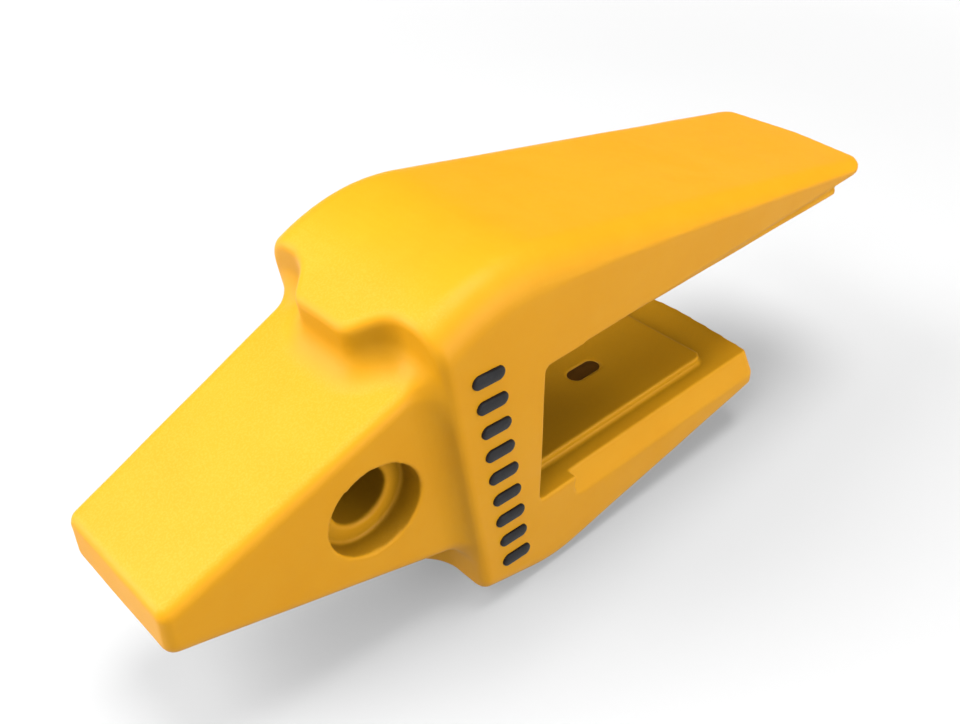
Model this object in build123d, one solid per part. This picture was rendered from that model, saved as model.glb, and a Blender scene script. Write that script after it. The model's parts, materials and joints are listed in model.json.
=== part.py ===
"""Two-strap lip adapter: the cast holder a digging bucket's tooth point fits on.

Millimetres. X runs along the adapter, nose tip at -X and strap ends at +X.
Y runs across it and Z is up, square to the lip faces. The origin is the centre
of the pin bore on the middle plane.
"""
from build123d import *
import math
import os

os.makedirs("parts", exist_ok=True)

# ---- lip slot ----
lip_thickness = 60.0
lip_clearance = 2.0
pad_relief = 3.6
throat_x = 74.5
slot_mid_z = -1.4
top_pad_length = 209.0
top_pad_half_width = 46.0
bottom_pad_length = 127.0
bottom_pad_half_width = 36.6
pad_corner_radius = 5.0
top_land_relief = 1.8
throat_radius = 3.0

# ---- body ----
body_width = 102.0
shoulder_setback = 41.3
shoulder_lean = 9.4
tongue_reach = 14.0
tongue_front_half_width = 15.0
tongue_root_half_width = 26.0
tongue_outer_radius = 9.0
tongue_inner_radius = 14.0
crown_knee_rise = 87.4
crown_front_angle = 28.0
crown_knee_before_throat = 23.4
strap_top_angle = 10.8
crown_radius = 85.0
keel_knee_drop = 80.2
keel_front_angle = 15.0
keel_knee_past_throat = 10.7
strap_bottom_angle = 9.3
keel_radius = 60.0
crown_edge_radius = 15.0
keel_edge_radius = 8.0
front_edge_radius = 4.5

# ---- straps ----
top_strap_length = 239.5
top_strap_end_half_width = 45.0
top_strap_point = 5.0
top_strap_corner_radius = 14.0
bottom_strap_length = 158.5
bottom_strap_point = 4.0
bottom_strap_corner_radius = 7.0
bevel_start = 22.0
bottom_bevel_inset = 5.0
bottom_bevel_height = 12.2
top_bevel_inset = 0.8
top_bevel_height = 0.8
bevel_runout_radius = 6.0

# ---- nose ----
nose_tip_x = -84.3
nose_tip_top_z = 3.5
nose_tip_bottom_z = -16.9
nose_top_angle = 22.4
nose_bottom_angle = 13.5
nose_tip_width = 67.0
nose_root_width = 87.0
nose_edge_radius = 5.5
nose_tip_radius = 5.0
nose_root_radius = 14.0
nose_root_x = 62.4

# ---- pin bore ----
pin_bore_diameter = 25.0
retainer_recess_diameter = 40.4
retainer_recess_depth = 10.5
recess_edge_radius = 1.5

# ---- raised marks ----
side_mark_count = 9
side_mark_height = 1.6
side_mark_length = 15.0
side_mark_width = 5.6
side_mark_first_z = -56.0
side_mark_last_z = 46.0
side_mark_margin = 18.5
side_mark_turn = -3.0
size_mark_recess = 1.4
size_mark_below_pad = 0.3
size_mark_length = 20.0
size_mark_width = 9.0
size_mark_from_throat = 76.0
size_mark_off_middle = 5.0

# ---- values that follow from the ones above ----
half_width = body_width / 2
lip_gap = lip_thickness + lip_clearance
floor_half_gap = lip_gap / 2 + pad_relief
lean = math.tan(math.radians(shoulder_lean))
far = 400.0


def wall_x(z):
    """Where the leaning front of the shoulders is at a height."""
    return throat_x - shoulder_setback - lean * (z - slot_mid_z)


def side_prism(outline, half):
    """A solid from an outline in X and Z, reaching half to each side."""
    return extrude(Plane.XZ * outline, half, both=True)


def bent_outline(near, knee, end, radius):
    """Two straight lines joined by an arc at the knee, as a list of edges."""
    a = math.atan2(knee[1] - near[1], knee[0] - near[0])
    b = math.atan2(end[1] - knee[1], end[0] - knee[0])
    turn = abs(b - a)
    reach = radius * math.tan(turn / 2)
    start = (knee[0] - reach * math.cos(a), knee[1] - reach * math.sin(a))
    stop = (knee[0] + reach * math.cos(b), knee[1] + reach * math.sin(b))
    arc = TangentArc(start, stop, tangent=(math.cos(a), math.sin(a)))
    return [Line(near, start), arc, Line(stop, end)]


def wedge_block():
    """Body and straps before the slot, with the long outer edges rounded."""
    knee_top = (throat_x - crown_knee_before_throat, slot_mid_z + crown_knee_rise)
    knee_bottom = (throat_x + keel_knee_past_throat, slot_mid_z - keel_knee_drop)
    front = -30.0
    back = throat_x + top_strap_length + 40
    run = knee_top[0] - front
    top_near = (front, knee_top[1] - run * math.tan(math.radians(crown_front_angle)))
    run = back - knee_top[0]
    top_end = (back, knee_top[1] - run * math.tan(math.radians(strap_top_angle)))
    run = knee_bottom[0] - front
    bottom_near = (front, knee_bottom[1] + run * math.tan(math.radians(keel_front_angle)))
    run = back - knee_bottom[0]
    bottom_end = (back, knee_bottom[1] + run * math.tan(math.radians(strap_bottom_angle)))
    top = bent_outline(top_near, knee_top, top_end, crown_radius)
    bottom = bent_outline(bottom_near, knee_bottom, bottom_end, keel_radius)
    sides = [Line(top_end, bottom_end), Line(bottom_near, top_near)]
    block = side_prism(make_face(Wire(top + bottom + sides)), half_width)
    long_edges = [
        edge
        for edge in block.edges()
        if abs(abs(edge.center().Y) - half_width) < 0.01
        and abs(edge.bounding_box().size.Z - edge.bounding_box().diagonal) > 1
    ]
    top_edges = [edge for edge in long_edges if edge.center().Z > 0]
    bottom_edges = [edge for edge in long_edges if edge.center().Z < 0]
    block = fillet(top_edges, crown_edge_radius)
    again = [
        edge
        for edge in block.edges()
        if abs(abs(edge.center().Y) - half_width) < 0.01
        and abs(edge.bounding_box().size.Z - edge.bounding_box().diagonal) > 1
        and any((edge.center() - old.center()).length < 0.5 for old in bottom_edges)
    ]
    return fillet(again, keel_edge_radius)


def front_wave():
    """The space behind the body's leaning front: shoulders and middle tongue."""
    level = -150.0
    shoulder = wall_x(level)
    tongue = shoulder - tongue_reach
    wide = half_width + 20
    points = [
        (far, -wide),
        (far, wide),
        (shoulder, wide),
        (shoulder, tongue_root_half_width),
        (tongue, tongue_front_half_width),
        (tongue, -tongue_front_half_width),
        (shoulder, -tongue_root_half_width),
        (shoulder, -wide),
    ]
    outline = make_face(Polyline(*points, close=True))
    corners = outline.vertices()
    outer = [v for v in corners if abs(v.X - tongue) < 0.01]
    outline = fillet(outer, tongue_outer_radius)
    inner = [
        v
        for v in outline.vertices()
        if abs(v.X - shoulder) < 0.01 and abs(abs(v.Y) - tongue_root_half_width) < 0.01
    ]
    outline = fillet(inner, tongue_inner_radius)
    leaning = Vector(-lean, 0, 1)
    return extrude(Pos(0, 0, level) * outline, 300 * leaning.length, dir=leaning.normalized())


def body():
    """The body with its front edges rounded."""
    solid = wedge_block() & front_wave()
    rims = []
    for edge in solid.edges():
        middle = edge @ 0.5
        ends = [edge @ 0, edge @ 1]
        if all(point.X < wall_x(point.Z) + 0.1 for point in [middle] + ends):
            rims.append(edge)
    leaning = Vector(-lean, 0, 1).normalized()
    rims = [edge for edge in rims if not (inside(edge) and abs((edge % 0.5).dot(leaning)) > 0.999)]
    return fillet(rims, front_edge_radius)


def inside(edge):
    """True for an edge clear of the body's sides."""
    return abs((edge @ 0.5).Y) < half_width - 1


def nose_top_z(x):
    """Height of the nose's upper face."""
    return nose_tip_top_z + (x - nose_tip_x) * math.tan(math.radians(nose_top_angle))


def nose_bottom_z(x):
    """Height of the nose's lower face."""
    return nose_tip_bottom_z - (x - nose_tip_x) * math.tan(math.radians(nose_bottom_angle))


def nose_half_width(x):
    """Half the nose's width, which grows towards the body."""
    part_way = (x - nose_tip_x) / (nose_root_x - nose_tip_x)
    return (nose_tip_width + part_way * (nose_root_width - nose_tip_width)) / 2


def nose():
    """The wedge the tooth point slides on, reaching into the body."""
    length = nose_root_x - nose_tip_x
    side = Polyline(
        (nose_tip_x, nose_tip_bottom_z),
        (nose_root_x, nose_bottom_z(nose_root_x)),
        (nose_root_x, nose_top_z(nose_root_x)),
        (nose_tip_x, nose_tip_top_z),
        close=True,
    )
    plan = Polyline(
        (nose_tip_x, -nose_tip_width / 2),
        (nose_root_x, -nose_root_width / 2),
        (nose_root_x, nose_root_width / 2),
        (nose_tip_x, nose_tip_width / 2),
        close=True,
    )
    solid = side_prism(make_face(side), half_width) & extrude(make_face(plan), far, both=True)
    long_edges = [e for e in solid.edges() if e.bounding_box().size.X > length / 2]
    solid = fillet(long_edges, nose_edge_radius)
    tip_edges = [e for e in solid.edges() if e.bounding_box().max.X < nose_tip_x + 0.1]
    return fillet(tip_edges, nose_tip_radius)


def casting_blank():
    """Nose and body as one piece, with the hollow between them rounded."""
    solid = body() + nose()
    root = []
    for edge in solid.edges():
        middle = edge @ 0.5
        slope = abs((edge % 0.5).dot(Vector(-lean, 0, 1).normalized()))
        side_gap = nose_half_width(middle.X) - abs(middle.Y)
        in_height = nose_bottom_z(middle.X) - 0.1 < middle.Z < nose_top_z(middle.X) + 0.1
        near_wall = abs(middle.X - wall_x(middle.Z)) < tongue_reach + 1
        beside_nose = abs(side_gap) < 0.5
        if near_wall and in_height and side_gap > -0.1 and (beside_nose or slope < 0.999):
            root.append(edge)
    return fillet(root, nose_root_radius)


def strap_outline(length, end_half_width, point, corner_radius):
    """A strap seen from above, from well inside the body to its pointed end."""
    end = throat_x + length
    points = [
        (-far, -half_width),
        (throat_x, -half_width),
        (end - point, -end_half_width),
        (end, 0),
        (end - point, end_half_width),
        (throat_x, half_width),
        (-far, half_width),
    ]
    outline = make_face(Polyline(*points, close=True))
    corners = [v for v in outline.vertices() if abs(v.X - (end - point)) < 0.01]
    return fillet(corners, corner_radius)


def beyond_strap(outline, z_from, z_to):
    """Everything outside a strap's outline between two heights."""
    around = Pos(throat_x + far / 2, 0, (z_from + z_to) / 2) * Box(far, 4 * half_width, z_to - z_from)
    kept = extrude(Pos(0, 0, z_from) * outline, z_to - z_from)
    return around - kept


def pad(length, pad_half_width, z_from, z_to):
    """A raised pad inside the slot, from the throat outwards."""
    start = throat_x - 10
    outline = Pos(start + (length + 10) / 2, 0, z_from) * Rectangle(length + 10, 2 * pad_half_width)
    corners = [v for v in outline.vertices() if v.X > throat_x]
    return extrude(fillet(corners, pad_corner_radius), z_to - z_from)


def slot():
    """The space the bucket lip fills, with the pads left standing in it."""
    space = Pos(throat_x + far / 2, 0, slot_mid_z) * Box(far, 4 * half_width, 2 * floor_half_gap)
    mouth = [e for e in space.edges() if e.bounding_box().max.X < throat_x + 0.01 and e.length > half_width * 3]
    space = fillet(mouth, throat_radius)
    pad_top = slot_mid_z + lip_gap / 2
    pad_bottom = slot_mid_z - lip_gap / 2
    space -= pad(top_pad_length, top_pad_half_width, pad_top, pad_top + 2 * pad_relief)
    land_start = throat_x + top_pad_length - 2 * pad_corner_radius
    land = Box(far, 4 * half_width, pad_relief, align=(Align.MIN, Align.CENTER, Align.MIN))
    space -= Pos(land_start, 0, pad_top + top_land_relief) * land
    space -= pad(bottom_pad_length, bottom_pad_half_width, pad_bottom - 2 * pad_relief, pad_bottom)
    return space


def bevel(outline, side, inset, height):
    """The sloping cut along a strap's inner edge, for the weld."""
    start = throat_x + bevel_start
    floor_z = slot_mid_z + side * floor_half_gap
    deep = height + pad_relief / 2
    middle = floor_z + side * (height - deep / 2)
    cut = Pos(start + far / 2, 0, middle) * Box(far, 4 * half_width, deep)
    outer = floor_z + side * height
    run_out = [e for e in cut.edges() if abs((e @ 0.5).X - start) < 0.01 and abs((e @ 0.5).Z - outer) < 0.01]
    cut = fillet(run_out, min(bevel_runout_radius, height * 0.9))
    slope = math.degrees(math.atan2(inset, height))
    kept = extrude(outline, deep, taper=slope)
    if side > 0:
        kept = mirror(kept, Plane.XY)
    return cut - Pos(0, 0, outer) * kept


def casting():
    """The whole holder: one casting."""
    solid = casting_blank()
    top = strap_outline(top_strap_length, top_strap_end_half_width, top_strap_point, top_strap_corner_radius)
    bottom = strap_outline(bottom_strap_length, half_width, bottom_strap_point, bottom_strap_corner_radius)
    solid -= beyond_strap(top, slot_mid_z, slot_mid_z + far)
    solid -= beyond_strap(bottom, slot_mid_z - far, slot_mid_z)
    solid -= slot()
    solid -= bevel(top, 1, top_bevel_inset, top_bevel_height)
    solid -= bevel(bottom, -1, bottom_bevel_inset, bottom_bevel_height)
    solid -= size_mark_place() * extrude(size_mark_outline(), -size_mark_recess)
    return drilled(solid)


def drilled(solid):
    """The casting with its pin bore and the retainer's recess on one side."""
    across = Rot(90, 0, 0)
    solid -= across * Cylinder(pin_bore_diameter / 2, 3 * half_width)
    floor_y = -nose_half_width(0) + retainer_recess_depth
    recess = across * Cylinder(retainer_recess_diameter / 2, far)
    solid -= Pos(0, floor_y - far / 2, 0) * recess
    rims = [
        e
        for e in solid.edges().filter_by(GeomType.CIRCLE)
        if abs(e.radius - pin_bore_diameter / 2) < 0.01 and abs((e @ 0.5).Y - floor_y) < 0.01
    ]
    return fillet(rims, recess_edge_radius)


def side_marks():
    """Plain raised bars in a leaning row on the body's near side."""
    bars = []
    for i in range(side_mark_count):
        z = side_mark_first_z + i * (side_mark_last_z - side_mark_first_z) / (side_mark_count - 1)
        x = wall_x(z + slot_mid_z) + side_mark_margin
        bar = extrude(SlotOverall(side_mark_length, side_mark_width), side_mark_height)
        top_edge = [e for e in bar.edges() if (e @ 0.5).Z > side_mark_height - 0.01]
        bar = fillet(top_edge, side_mark_height / 2)
        bars.append(Pos(x, -half_width, z + slot_mid_z) * Rot(90, 0, 0) * Rot(0, 0, side_mark_turn) * bar)
    return Compound(children=bars)


def size_mark_place():
    """Where the lip-size mark is, on the face of the bottom pad."""
    return Pos(throat_x + size_mark_from_throat, -size_mark_off_middle, slot_mid_z - lip_gap / 2)


def size_mark_outline():
    """The plain rounded shape of the mark and of its shallow recess."""
    return SlotOverall(size_mark_length, size_mark_width)


def size_mark():
    """One plain bar in a recess in the bottom pad, where a lip size would be cast."""
    height = size_mark_recess - size_mark_below_pad
    return size_mark_place() * Pos(0, 0, -size_mark_recess) * extrude(size_mark_outline(), height)


if __name__ == "__main__":
    export_step(casting(), "parts/adapter_casting.step")
    export_step(side_marks(), "parts/side_marks.step")
    export_step(size_mark(), "parts/size_mark.step")
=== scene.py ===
import json
import math

import bpy
import numpy as np
from mathutils import Matrix, Vector, noise


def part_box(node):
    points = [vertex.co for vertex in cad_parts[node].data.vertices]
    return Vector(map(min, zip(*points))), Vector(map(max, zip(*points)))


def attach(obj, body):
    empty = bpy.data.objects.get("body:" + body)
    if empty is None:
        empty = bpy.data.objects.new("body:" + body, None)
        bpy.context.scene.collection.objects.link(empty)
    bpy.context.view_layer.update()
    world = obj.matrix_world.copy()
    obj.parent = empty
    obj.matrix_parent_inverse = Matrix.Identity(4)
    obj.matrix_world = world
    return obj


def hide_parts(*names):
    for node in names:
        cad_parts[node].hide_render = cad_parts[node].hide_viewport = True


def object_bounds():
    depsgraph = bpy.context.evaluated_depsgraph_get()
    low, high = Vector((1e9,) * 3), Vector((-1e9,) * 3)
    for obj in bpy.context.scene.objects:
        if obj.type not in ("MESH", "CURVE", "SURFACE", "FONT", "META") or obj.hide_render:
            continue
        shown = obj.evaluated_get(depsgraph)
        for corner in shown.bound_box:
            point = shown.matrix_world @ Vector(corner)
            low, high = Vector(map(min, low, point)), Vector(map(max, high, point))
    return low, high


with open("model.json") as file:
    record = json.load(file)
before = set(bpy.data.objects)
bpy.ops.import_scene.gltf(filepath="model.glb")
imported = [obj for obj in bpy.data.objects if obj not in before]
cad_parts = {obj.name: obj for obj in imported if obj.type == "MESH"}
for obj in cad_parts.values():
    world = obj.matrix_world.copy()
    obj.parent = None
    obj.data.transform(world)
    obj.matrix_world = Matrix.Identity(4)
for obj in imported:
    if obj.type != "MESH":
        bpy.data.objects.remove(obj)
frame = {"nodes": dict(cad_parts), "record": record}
cadLow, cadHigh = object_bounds()
scene = bpy.context.scene
print("frame loaded:", sorted(frame["nodes"]))

mounts = {m["name"]: m for m in frame["record"]["mounts"]}
throat = Vector(mounts["throat_face"]["pos_m"])  # middle of the slot's back wall
partCentre = (cadLow + cadHigh) / 2


# the camera looks past the throat from the tongue's side, a little above

cameraView = {
    "turn": -43.11,  # degrees round the part, 0 looks along +Y
    "tilt": 36.80,  # degrees above the floor
    "distance": 0.4562,  # metres from the throat
    "right": 0.00977,  # metres that the camera stands aside from the line to the throat
    "up": 0.00762,
    "lens": 40.5,  # millimetres
    "sensor": 36,
    "clipStart": 0.01,
}


def placeCamera(view):
    turn, tilt = math.radians(view["turn"]), math.radians(view["tilt"])
    flat = math.cos(tilt)
    back = Vector((math.sin(turn) * flat, -math.cos(turn) * flat, math.sin(tilt)))
    right = Vector((math.cos(turn), math.sin(turn), 0))
    up = back.cross(right)
    data = bpy.data.cameras.new("partCamera")
    data.lens = view["lens"]
    data.sensor_width = view["sensor"]
    data.clip_start = view["clipStart"]
    camera = bpy.data.objects.new("partCamera", data)
    place = throat + back * view["distance"] + right * view["right"] + up * view["up"]
    turned = Matrix((right, up, back)).transposed().to_4x4()
    camera.matrix_world = Matrix.Translation(place) @ turned
    scene.collection.objects.link(camera)
    scene.camera = camera


placeCamera(cameraView)
print("camera placed")


# small helpers for node trees


def newMaterial(name):
    material = bpy.data.materials.new(name)
    material.use_nodes = True
    tree = material.node_tree
    return material, tree, tree.nodes["Principled BSDF"]


def plug(tree, socket, value):  # a link for a socket, a plain setting for anything else
    if isinstance(value, bpy.types.NodeSocket):
        tree.links.new(value, socket)
    else:
        socket.default_value = value


def addNode(tree, kind, settings=None, **inputs):  # Min_X stands for the input "Min X"
    node = tree.nodes.new(kind)
    for key, value in (settings or {}).items():
        setattr(node, key, value)
    for key, value in inputs.items():
        plug(tree, node.inputs[key.replace("_", " ")], value)
    return node


def objectPoint(tree):
    return addNode(tree, "ShaderNodeTexCoord").outputs["Object"]


def partOf(tree, vector, axis):
    return addNode(tree, "ShaderNodeSeparateXYZ", Vector=vector).outputs[axis]


def noiseOf(tree, point, scale, detail=2.0, rough=0.5, warp=0.0):
    node = addNode(
        tree, "ShaderNodeTexNoise",
        Vector=point, Scale=scale, Detail=detail, Roughness=rough, Distortion=warp,
    )
    return node.outputs["Fac"]


def ramp(tree, value, low, high, toLow=0.0, toHigh=1.0):  # smooth, and low may be above high
    node = addNode(
        tree, "ShaderNodeMapRange", {"interpolation_type": "SMOOTHSTEP"},
        Value=value, From_Min=low, From_Max=high, To_Min=toLow, To_Max=toHigh,
    )
    return node.outputs["Result"]


def mathOf(tree, operation, first, second=0.0):
    node = addNode(tree, "ShaderNodeMath", {"operation": operation})
    plug(tree, node.inputs[0], first)
    plug(tree, node.inputs[1], second)
    return node.outputs[0]


def times(tree, first, second):
    return mathOf(tree, "MULTIPLY", first, second)


def mixColour(tree, factor, first, second):
    settings = {"data_type": "RGBA"}
    node = addNode(tree, "ShaderNodeMix", settings, Factor=factor, A=first, B=second)
    return node.outputs["Result"]


def bumpOf(tree, height, distance, strength=1.0, before=None):
    node = addNode(tree, "ShaderNodeBump", Height=height, Distance=distance, Strength=strength)
    if before is not None:
        tree.links.new(before, node.inputs["Normal"])
    return node.outputs["Normal"]


# satin yellow paint over the cast skin

yellowPaint = {
    "colour": (0.98, 0.440, 0.010, 1),
    "deepColour": (0.92, 0.370, 0.006, 1),  # where the coat lies thicker
    "paleColour": (1.00, 0.52, 0.030, 1),  # where it is thin, in the small specks, and as a painted highlight on convex edges
    "paintedShadeColour": (0.34, 0.155, 0.006, 1),  # painted shade deep in hollows
    "sandGlintColour": (1.00, 0.60, 0.075, 1),  # painted glints: bright points of the sandy grain on the lit top
    "patchScale": 17.0,
    "patchShare": 0.25,
    "cloudScale": 85.0,
    "cloudShare": 0.14,
    "thinEdgeHighlightShare": 0.20,
    "paintedShadeReach": 0.09,  # metres that a hollow's painted shade is gathered over
    "paintedShadeShare": 0.50,
    "speckScale": 900.0,
    "speckShare": 0.14,
    "sandGlintScale": 1250.0,  # only on the tongue's top face
    "sandGlintShare": 0.25,
    "sandGlintStart": 0.030,  # metres ahead of the throat where it begins to show
    "sandGlintFull": 0.052,
    "castScale": 210.0,
    "castDepth": 0.00016,
    "castStrength": 0.55,
    "grainScale": 1500.0,
    "grainDepth": 0.00005,
    "grainStrength": 0.60,
    "roughness": 0.40,
    "roughnessSpread": 0.10,
    "specular": 0.25,
}


def makeYellowPaint(paint):
    material, tree, shader = newMaterial("satinYellowPaint")
    point = objectPoint(tree)
    geometry = addNode(tree, "ShaderNodeNewGeometry")
    patches = ramp(tree, noiseOf(tree, point, paint["patchScale"], 3, 0.55, 0.4), 0.35, 0.68)
    cloud = ramp(tree, noiseOf(tree, point, paint["cloudScale"], 4, 0.6), 0.35, 0.75)
    speck = ramp(tree, noiseOf(tree, point, paint["speckScale"], 2, 0.6), 0.56, 0.74)
    sandGlint = ramp(tree, noiseOf(tree, point, paint["sandGlintScale"], 2, 0.6), 0.42, 0.64)
    # paler on convex edges: thin paint there, and partly a painted highlight
    edge = ramp(tree, geometry.outputs["Pointiness"], 0.54, 0.66)
    # painted shade: ambient occlusion darkens the base colour in hollows, creases and the bore
    shelter = addNode(
        tree, "ShaderNodeAmbientOcclusion", {"samples": 8, "only_local": True},
        Distance=paint["paintedShadeReach"],
    )
    paintedShade = ramp(tree, shelter.outputs["AO"], 0.68, 0.30)

    # painted glints: the sandy grain's bright points lie on what faces up to the light, ahead of
    # the body and out of the recess
    starts, full = throat.x - paint["sandGlintStart"], throat.x - paint["sandGlintFull"]
    ahead = ramp(tree, partOf(tree, point, "X"), starts, full)
    upward = ramp(tree, partOf(tree, geometry.outputs["Normal"], "Z"), 0.65, 0.88)
    openFace = mathOf(tree, "SUBTRACT", 1.0, paintedShade)
    sandGlintMask = times(tree, times(tree, times(tree, ahead, upward), openFace), paint["sandGlintShare"])

    colour = paint["colour"]
    for mask, share, over in (
        (patches, "patchShare", "deepColour"),
        (cloud, "cloudShare", "paleColour"),
        (edge, "thinEdgeHighlightShare", "paleColour"),
        (paintedShade, "paintedShadeShare", "paintedShadeColour"),
        (speck, "speckShare", "paleColour"),
    ):
        colour = mixColour(tree, times(tree, mask, paint[share]), colour, paint[over])
    colour = mixColour(tree, times(tree, sandGlint, sandGlintMask), colour, paint["sandGlintColour"])

    grain = noiseOf(tree, point, paint["grainScale"], 3, 0.65)
    cast = noiseOf(tree, point, paint["castScale"], 4, 0.55, 0.3)
    spread = paint["roughnessSpread"]
    rough = mathOf(tree, "ADD", paint["roughness"], times(tree, grain, spread))
    rough = mathOf(tree, "ADD", rough, times(tree, patches, spread / 2))
    normal = bumpOf(tree, cast, paint["castDepth"], paint["castStrength"])
    normal = bumpOf(tree, grain, paint["grainDepth"], paint["grainStrength"], normal)
    tree.links.new(colour, shader.inputs["Base Color"])
    tree.links.new(rough, shader.inputs["Roughness"])
    tree.links.new(normal, shader.inputs["Normal"])
    shader.inputs["Specular IOR Level"].default_value = paint["specular"]
    return material


# paint on the raised marks: black down the side, and for the size bar in the slot a brown that is
# painted shade

blackPaint = {
    "name": "satinBlackPaint",
    "colour": (0.009, 0.009, 0.011, 1),
    "paleColour": (0.026, 0.026, 0.030, 1),  # rubbed edges and worn patches
    "roughness": 0.34,
}

# painted shade: the size bar coloured as the yellow casting looks in shadow
paintedShadeBarPaint = {
    "name": "paintedShadeBrownPaint",
    "colour": (0.125, 0.045, 0.002, 1),
    "paleColour": (0.19, 0.075, 0.004, 1),
    "roughness": 0.45,
}

markCoat = {
    "patchScale": 160.0,
    "wornShare": 0.5,
    "grainScale": 1700.0,
    "grainDepth": 0.00005,
    "grainStrength": 0.6,
    "roughnessSpread": 0.16,
    "specular": 0.25,
}


def makeMarkPaint(paint, coat):
    material, tree, shader = newMaterial(paint["name"])
    point = objectPoint(tree)
    patches = ramp(tree, noiseOf(tree, point, coat["patchScale"], 4, 0.6), 0.40, 0.75)
    grain = noiseOf(tree, point, coat["grainScale"], 3, 0.6)
    edge = addNode(tree, "ShaderNodeNewGeometry").outputs["Pointiness"]
    rubbed = ramp(tree, edge, 0.53, 0.64)
    colour = paint["colour"]
    for mask in (patches, rubbed):
        colour = mixColour(tree, times(tree, mask, coat["wornShare"]), colour, paint["paleColour"])
    spread = times(tree, grain, coat["roughnessSpread"])
    rough = mathOf(tree, "ADD", paint["roughness"], spread)
    normal = bumpOf(tree, grain, coat["grainDepth"], coat["grainStrength"])
    tree.links.new(colour, shader.inputs["Base Color"])
    tree.links.new(rough, shader.inputs["Roughness"])
    tree.links.new(normal, shader.inputs["Normal"])
    shader.inputs["Specular IOR Level"].default_value = coat["specular"]
    return material


satinYellow = makeYellowPaint(yellowPaint)
satinBlack = makeMarkPaint(blackPaint, markCoat)
paintedShadeBrown = makeMarkPaint(paintedShadeBarPaint, markCoat)
print("materials made")


# the casting: the part's own shape with the soft skin of a sand casting

castingSkin = {
    "mergeDistance": 0.00002,
    "voxel": 0.0008,
    "softenSteps": 5,
    "outerSteps": 9,  # more of them on the straps' outer halves
    "outerFrom": 0.036,  # metres above and below the slot's middle
    "outerBand": 0.006,
    "softenPush": 0.50,
    "softenPull": -0.52,
    "keptFaces": 0.315,  # share of the faces left after thinning the flat places
    "waveHeight": 0.00014,  # gentle unevenness of the cast faces
    "waveScale": 38.0,
    "waveSeed": 5.3,
}


def mergedCopy(node, name, distance):
    mesh = frame["nodes"][node].data.copy()
    mesh.name = name
    piece = bpy.data.objects.new(name, mesh)
    scene.collection.objects.link(piece)
    piece.modifiers.new("weld", "WELD").merge_threshold = distance
    return piece


def settle(piece):  # every modifier into a plain mesh
    graph = bpy.context.evaluated_depsgraph_get()
    mesh = bpy.data.meshes.new_from_object(piece.evaluated_get(graph))
    piece.modifiers.clear()
    old, piece.data = piece.data, mesh
    name = old.name
    bpy.data.meshes.remove(old)
    mesh.name = name
    return mesh


def softened(points, edges, steps, push, pull):  # a push and a pull, so nothing shrinks
    starts, ends = edges[:, 0], edges[:, 1]
    count = np.zeros(len(points))
    np.add.at(count, starts, 1)
    np.add.at(count, ends, 1)
    for step in range(steps * 2):
        total = np.zeros_like(points)
        for axis in range(3):
            total[:, axis] = np.bincount(starts, points[ends, axis], len(points))
            total[:, axis] += np.bincount(ends, points[starts, axis], len(points))
        amount = push if step % 2 == 0 else pull
        points = points + amount * (total / count[:, None] - points)
    return points


def meshArrays(mesh):
    points = np.zeros(len(mesh.vertices) * 3)
    mesh.vertices.foreach_get("co", points)
    edges = np.zeros(len(mesh.edges) * 2, np.int64)
    mesh.edges.foreach_get("vertices", edges)
    return points.reshape(-1, 3), edges.reshape(-1, 2)


def setPoints(mesh, points):
    mesh.vertices.foreach_set("co", points.ravel())
    mesh.update()


def normalsOf(mesh):
    normals = np.zeros(len(mesh.vertices) * 3)
    mesh.vertices.foreach_get("normal", normals)
    return normals.reshape(-1, 3)


def makeCasting(skin):
    low, high = (np.array(corner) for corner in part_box("adapter_casting"))
    piece = mergedCopy("adapter_casting", "castingSkin", skin["mergeDistance"])
    remesh = piece.modifiers.new("remesh", "REMESH")
    remesh.mode = "VOXEL"
    remesh.voxel_size = skin["voxel"]
    mesh = settle(piece)

    # edges rounded by smoothing, more on the straps' outer halves
    points, edges = meshArrays(mesh)
    push, pull = skin["softenPush"], skin["softenPull"]
    points = softened(points, edges, skin["softenSteps"], push, pull)
    rounder = softened(points, edges, skin["outerSteps"], push, pull)
    outer = (np.abs(points[:, 2] - throat.z) - skin["outerFrom"]) / skin["outerBand"]
    points = points + np.clip(outer, 0, 1)[:, None] * (rounder - points)
    setPoints(mesh, points)

    # low waves along the normals, never past the part's own box
    offset = Vector((skin["waveSeed"],) * 3)
    waves = np.array([noise.noise(Vector(p) * skin["waveScale"] + offset) for p in points])
    points = points + normalsOf(mesh) * (waves * skin["waveHeight"])[:, None]
    setPoints(mesh, np.clip(points, low, high))
    print("casting skin before thinning:", len(mesh.polygons), "faces")

    piece.modifiers.new("thin", "DECIMATE").ratio = skin["keptFaces"]
    mesh = settle(piece)
    setPoints(mesh, np.clip(meshArrays(mesh)[0], low, high))
    mesh.materials.clear()
    mesh.materials.append(satinYellow)
    mesh.shade_smooth()
    mesh.update()
    print("casting skin:", len(mesh.polygons), "faces")
    return piece


casting = makeCasting(castingSkin)
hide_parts("adapter_casting")
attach(casting, "root")


# raised marks: one Geometry Nodes tree makes a row of puffed bars

barInputs = (
    ("Float", ("Bar Length", "Bar Width", "Bar Height", "Sunk Depth", "Flank", "Bar Turn")),
    ("Vector", ("First Place", "Step")),
    ("Int", ("Count", "Seed")),
    ("Float", ("Unevenness",)),
    ("Material", ("Paint",)),
)


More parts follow.
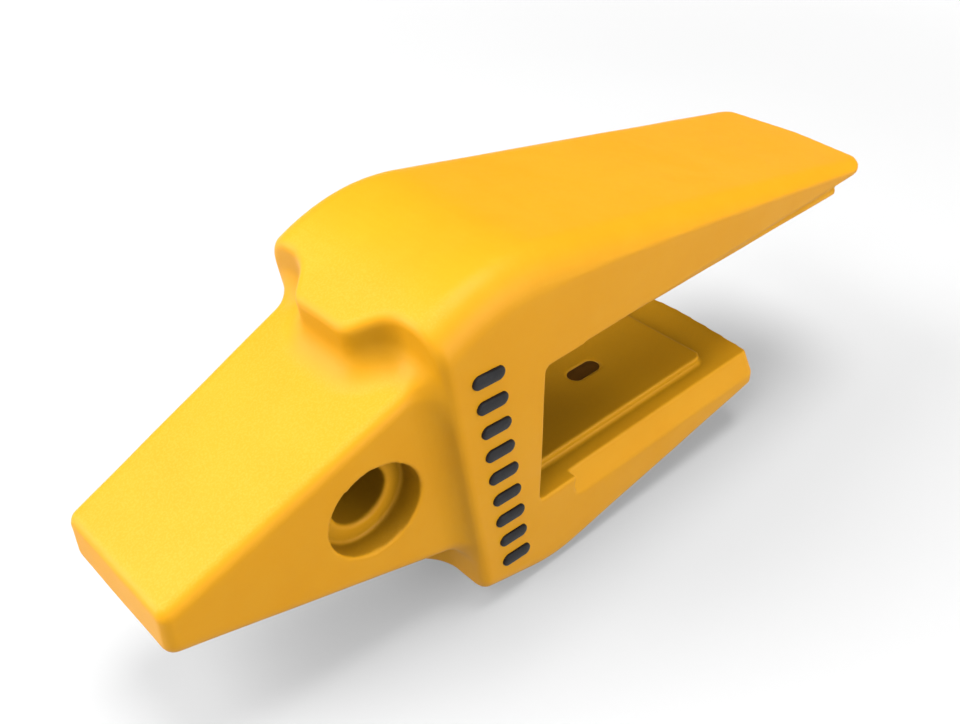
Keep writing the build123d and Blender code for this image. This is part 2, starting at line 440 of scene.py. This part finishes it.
def makeBarTree():
    tree = bpy.data.node_groups.new("puffedBars", "GeometryNodeTree")
    face = tree.interface
    face.new_socket("Geometry", in_out="INPUT", socket_type="NodeSocketGeometry")
    face.new_socket("Geometry", in_out="OUTPUT", socket_type="NodeSocketGeometry")
    for kind, names in barInputs:
        for name in names:
            face.new_socket(name, in_out="INPUT", socket_type="NodeSocket" + kind)
    start = tree.nodes.new("NodeGroupInput").outputs
    end = tree.nodes.new("NodeGroupOutput")

    # one bar: a ball stretched along X, with steep flanks and a flatter top
    ball = addNode(tree, "GeometryNodeMeshUVSphere", Segments=32, Rings=18, Radius=1.0)
    spot = addNode(tree, "GeometryNodeInputPosition").outputs[0]
    parts = addNode(tree, "ShaderNodeSeparateXYZ", Vector=spot).outputs
    halfWide = times(tree, start["Bar Width"], 0.5)
    straight = mathOf(tree, "SUBTRACT", times(tree, start["Bar Length"], 0.5), halfWide)
    pushed = times(tree, mathOf(tree, "SIGN", parts["X"]), straight)
    along = mathOf(tree, "ADD", times(tree, parts["X"], halfWide), pushed)
    across = times(tree, parts["Y"], halfWide)
    steep = mathOf(tree, "POWER", mathOf(tree, "ABSOLUTE", parts["Z"]), start["Flank"])
    above = mathOf(tree, "GREATER_THAN", parts["Z"], 0.0)
    below = mathOf(tree, "SUBTRACT", 1.0, above)
    upper = times(tree, times(tree, steep, above), start["Bar Height"])
    under = times(tree, times(tree, steep, below), start["Sunk Depth"])
    high = mathOf(tree, "SUBTRACT", upper, under)
    place = addNode(tree, "ShaderNodeCombineXYZ", X=along, Y=across, Z=high)
    shaped = addNode(
        tree, "GeometryNodeSetPosition",
        Geometry=ball.outputs["Mesh"], Position=place.outputs[0],
    )

    # the row, each bar a little different as hand-set pattern letters are
    line = addNode(
        tree, "GeometryNodeMeshLine",
        Count=start["Count"], Start_Location=start["First Place"], Offset=start["Step"],
    )
    wobble = addNode(tree, "FunctionNodeRandomValue", {"data_type": "FLOAT"}, Seed=start["Seed"])
    low, top = [s for s in wobble.inputs if s.type == "VALUE"][:2]
    plug(tree, low, mathOf(tree, "SUBTRACT", 1.0, start["Unevenness"]))
    plug(tree, top, mathOf(tree, "ADD", 1.0, start["Unevenness"]))
    stretch = [s for s in wobble.outputs if s.type == "VALUE"][0]
    scale = addNode(tree, "ShaderNodeCombineXYZ", X=stretch, Y=stretch, Z=1.0)
    turn = addNode(tree, "ShaderNodeCombineXYZ", Z=start["Bar Turn"])
    row = addNode(
        tree, "GeometryNodeInstanceOnPoints",
        Points=line.outputs[0], Instance=shaped.outputs[0],
        Rotation=turn.outputs[0], Scale=scale.outputs[0],
    )
    real = addNode(tree, "GeometryNodeRealizeInstances", Geometry=row.outputs[0])
    smooth = addNode(tree, "GeometryNodeSetShadeSmooth", Geometry=real.outputs[0])
    painted = addNode(
        tree, "GeometryNodeSetMaterial",
        Geometry=smooth.outputs[0], Material=start["Paint"],
    )
    tree.links.new(painted.outputs[0], end.inputs[0])
    return tree


def makeBars(name, tree, values, place):
    piece = bpy.data.objects.new(name, bpy.data.meshes.new(name))
    scene.collection.objects.link(piece)
    modifier = piece.modifiers.new("bars", "NODES")
    modifier.node_group = tree
    sockets = {s.name: s.identifier for s in tree.interface.items_tree if s.in_out == "INPUT"}
    for key, value in values.items():
        modifier[sockets[key]] = value
    mesh = settle(piece)
    mesh.transform(place)
    mesh.update()
    return piece


barTree = makeBarTree()

# nine bars down the side, the row running from the lowest up
sideMarks = {
    "Bar Length": 0.0152,
    "Bar Width": 0.0060,
    "Bar Height": 0.0015,
    "Sunk Depth": 0.0012,  # how far they go into the casting
    "Flank": 0.5,  # below 1 the flanks are steeper than a ball's
    "Bar Turn": math.radians(-3.0),
    "First Place": (0.0, 0.0, 0.0),
    "Count": 9,
    "Seed": 4,
    "Unevenness": 0.03,
    "Paint": satinBlack,
}
rowInset = {"x": 0.0076, "z": 0.0031}  # from the row's box in to the end bars' middles

marksLow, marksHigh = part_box("side_marks")
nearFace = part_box("adapter_casting")[0].y
rowTop = Vector((marksLow.x + rowInset["x"], 0, marksHigh.z - rowInset["z"]))
rowBottom = Vector((marksHigh.x - rowInset["x"], 0, marksLow.z + rowInset["z"]))
rowStep = (rowTop - rowBottom) / (sideMarks["Count"] - 1)
sideMarks["Step"] = (rowStep.x, rowStep.z, 0.0)
# the tree's X and Y lie in the side face, its Z points out of it
facePlace = Matrix(((1, 0, 0), (0, 0, -1), (0, 1, 0))).to_4x4()
facePlace.translation = Vector((rowBottom.x, nearFace, rowBottom.z))
sideRow = makeBars("sideMarkRow", barTree, sideMarks, facePlace)
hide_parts("side_marks")
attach(sideRow, "root")

sizeLow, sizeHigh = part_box("size_mark")
sizeSpan = sizeHigh - sizeLow
sizeFill = 0.97  # share of its box that the bar takes up along and across
sizeMark = {
    "Bar Length": sizeSpan.x * sizeFill,
    "Bar Width": sizeSpan.y * sizeFill,
    "Bar Height": sizeSpan.z,
    "Sunk Depth": 0.0008,
    "Flank": 0.5,
    "Bar Turn": 0.0,
    "First Place": (0.0, 0.0, 0.0),
    "Step": (0.0, 0.0, 0.0),
    "Count": 1,
    "Seed": 1,
    "Unevenness": 0.0,
    "Paint": paintedShadeBrown,
}
sizeMiddle = (sizeLow + sizeHigh) / 2
sizePlace = Matrix.Translation((sizeMiddle.x, sizeMiddle.y, sizeLow.z))
sizeBar = makeBars("lipSizeBar", barTree, sizeMark, sizePlace)
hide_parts("size_mark")
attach(sizeBar, "root")
print("marks made")


# the floor, which glows a little and fades into the white backdrop, and the lights

studio = {
    "floorSize": 8.0,
    "floorDrop": 0.0002,  # metres below the part
    "floorColour": (0.66, 0.66, 0.66, 1),
    "floorShade": (0.63, 0.63, 0.63, 1),
    "floorShadeScale": 3.0,
    "floorShadeShare": 0.3,
    "floorRoughness": 0.9,
    "floorSpecular": 0.1,
    "floorGlow": 0.214,
    "fade": (0.5, 1.9),  # metres from the part where the floor turns into the backdrop
    "backdropStrength": 1.0,  # what shows above the floor's edge
    "worldStrength": 0.06,  # what lights the part
    "softboxSize": 1.6,
    "softboxes": {  # where each stands from the part's centre, in metres, and its watts
        "ceiling": ((0.16, 0.00, 2.88), 46.3),
        "left": ((-1.68, -0.24, 2.16), 18.4),
        "lowLeft": ((-1.84, 1.36, 0.56), 30.5),
        "back": ((-1.28, 1.28, 1.92), 28.5),
        "front": ((1.44, -1.76, 1.44), 9.0),
        "frontLow": ((0.50, -2.40, 0.60), 25.0),
        "frontLeft": ((-1.20, -2.00, 1.00), 7.0),
    },
}


def makeFloor(room, height):
    half = room["floorSize"] / 2
    corners = [(x * half, y * half, height) for x, y in ((-1, -1), (1, -1), (1, 1), (-1, 1))]
    mesh = bpy.data.meshes.new("floor")
    mesh.from_pydata(corners, [], [(0, 1, 2, 3)])
    material, tree, shader = newMaterial("paleFloor")
    point = objectPoint(tree)
    shade = ramp(tree, noiseOf(tree, point, room["floorShadeScale"], 2, 0.5), 0.3, 0.7)
    shade = times(tree, shade, room["floorShadeShare"])
    tint = mixColour(tree, shade, room["floorColour"], room["floorShade"])
    away = addNode(tree, "ShaderNodeVectorMath", {"operation": "DISTANCE"})
    tree.links.new(point, away.inputs[0])
    away.inputs[1].default_value = (partCentre.x, partCentre.y, height)
    nearEdge, farEdge = room["fade"]
    distance = away.outputs["Value"]
    glow = ramp(tree, distance, nearEdge, farEdge, room["floorGlow"], room["backdropStrength"])
    tree.links.new(tint, shader.inputs["Base Color"])
    tree.links.new(glow, shader.inputs["Emission Strength"])
    shader.inputs["Emission Color"].default_value = (1, 1, 1, 1)
    shader.inputs["Roughness"].default_value = room["floorRoughness"]
    shader.inputs["Specular IOR Level"].default_value = room["floorSpecular"]
    mesh.materials.append(material)
    floor = bpy.data.objects.new("floor", mesh)
    scene.collection.objects.link(floor)
    return floor


def makeSoftbox(name, place, aim, size, power):
    data = bpy.data.lights.new(name, "AREA")
    data.shape = "DISK"
    data.size = size
    data.energy = power
    light = bpy.data.objects.new(name, data)
    light.location = place
    light.rotation_euler = (aim - place).to_track_quat("-Z", "Y").to_euler()
    scene.collection.objects.link(light)


def makeWorld(room):  # the camera sees a brighter backdrop than the one that lights the part
    world = bpy.data.worlds.new("studioWorld")
    world.use_nodes = True
    tree = world.node_tree
    sky = tree.nodes["Background"]
    seen = addNode(tree, "ShaderNodeLightPath").outputs["Is Camera Ray"]
    low, high = room["worldStrength"], room["backdropStrength"]
    strength = addNode(tree, "ShaderNodeMapRange", Value=seen, To_Min=low, To_Max=high)
    tree.links.new(strength.outputs["Result"], sky.inputs["Strength"])
    sky.inputs["Color"].default_value = (1, 1, 1, 1)
    scene.world = world


floor = makeFloor(studio, cadLow.z - studio["floorDrop"])
for name, (offset, power) in studio["softboxes"].items():
    place = partCentre + Vector(offset)
    makeSoftbox(name + "Softbox", place, partCentre, studio["softboxSize"], power)
makeWorld(studio)
scene.view_settings.view_transform = "Standard"
scene.cycles.diffuse_bounces = 0  # neutral shadows: the part throws no yellow on the floor
print("studio made")
